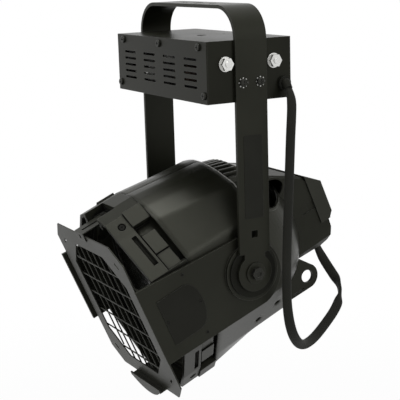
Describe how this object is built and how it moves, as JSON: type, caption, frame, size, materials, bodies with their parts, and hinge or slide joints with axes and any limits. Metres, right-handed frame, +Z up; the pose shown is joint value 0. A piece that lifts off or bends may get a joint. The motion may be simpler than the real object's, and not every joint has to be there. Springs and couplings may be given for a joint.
{
  "type": "par can light",
  "caption": "Eight-sided cast par can stage light with a colour frame and mesh, tilting in a flat-bar yoke that carries a vented ballast box, with a lamp lead to its rear cap.",
  "frame": {"origin": "centre of the hanging hole, on the crossbar's top face", "axes": "+Z up out of the hanging hole, -Y the way the light shines, +X towards the arm that the lamp lead runs down"},
  "size_m": [0.2533, 0.3331, 0.4624],
  "materials": {
    "yoke_paint": "satin powder coat",
    "box_paint": "satin powder coat",
    "cast_paint": "black paint on a casting",
    "cheek_paint": "satin powder coat",
    "frame_paint": "matt paint",
    "cap_plastic": "fine matt texture",
    "black_fixings": "blackened",
    "zinc": "zinc plated",
    "tray_steel": "plain sheet",
    "core_iron": "varnished laminations",
    "coil_copper": "varnished copper",
    "can_plastic": "plain",
    "fibre": "fibre",
    "lead_sleeve": "woven sleeve",
    "lens_glass": "pressed glass",
    "ring_aluminium": "anodised",
    "mirror_aluminium": "polished",
    "ceramic": "glazed ceramic"
  },
  "bodies": {
    "yoke": {"yoke_strap": "yoke_paint", "ballast_case": "box_paint", "ballast_cover": "box_paint", "cover_screws": "black_fixings", "end_bolts": "zinc", "end_washers": "zinc", "arm_screws": "black_fixings", "star_washers": "black_fixings", "chassis_tray": "tray_steel", "choke_core": "core_iron", "choke_winding": "coil_copper", "choke_screws": "zinc", "ignitor": "can_plastic", "capacitor": "can_plastic", "capacitor_clip": "zinc", "terminal_block": "can_plastic", "case_gland": "black_fixings", "gland_nut": "zinc", "mains_bush": "fibre", "pivot_bolts": "black_fixings", "pivot_washers": "black_fixings", "pivot_nuts": "zinc", "friction_discs": "fibre", "lamp_lead": "lead_sleeve"},
    "head": {"front_ring": "cast_paint", "shell_right": "cast_paint", "shell_left": "cast_paint", "rear_housing": "cast_paint", "side_plate_right": "cheek_paint", "side_plate_left": "cheek_paint", "frame_rests": "cheek_paint", "bottom_holder": "cheek_paint", "safety_eye": "cheek_paint", "badge_plates": "cheek_paint", "frame_clip": "frame_paint", "rear_cap": "cap_plastic", "cap_cover": "cap_plastic", "ring_screws": "black_fixings", "shell_screws": "black_fixings", "cheek_rivets": "black_fixings", "rear_screws": "black_fixings", "cap_screws": "black_fixings", "reflector_screws": "zinc", "lens_clips": "zinc", "holder_bracket": "tray_steel", "heat_shield": "tray_steel", "lens_carrier": "tray_steel", "lead_bush": "fibre", "lamp_envelope": "lens_glass", "reflector": "mirror_aluminium", "lamp_arc_tube": "ceramic", "lamp_base": "ceramic", "lamp_holder": "ceramic", "cap_terminals": "ceramic"},
    "lens_unit": {"lens_ring": "ring_aluminium", "lens_gasket": "fibre", "lens": "lens_glass", "lens_retainer": "zinc"},
    "frame_unit": {"colour_frame": "frame_paint", "mesh_wires": "frame_paint"}
  },
  "joints": [
    {"name": "tilt", "type": "hinge", "parent": "yoke", "child": "head", "pos_m": [0, 0, -0.3], "axis": [1, 0, 0], "range_deg": [-39, 67], "deforming": ["lamp_lead"]},
    {"name": "lens_turn", "type": "hinge", "parent": "head", "child": "lens_unit", "pos_m": [0, 0, -0.3], "axis": [0, -0.9212, -0.3891], "continuous": true},
    {"name": "frame_slide", "type": "slide", "parent": "head", "child": "frame_unit", "axis": [0, -0.3891, 0.9212], "range_m": [0, 0.2], "deforming": ["frame_clip"]}
  ]
}
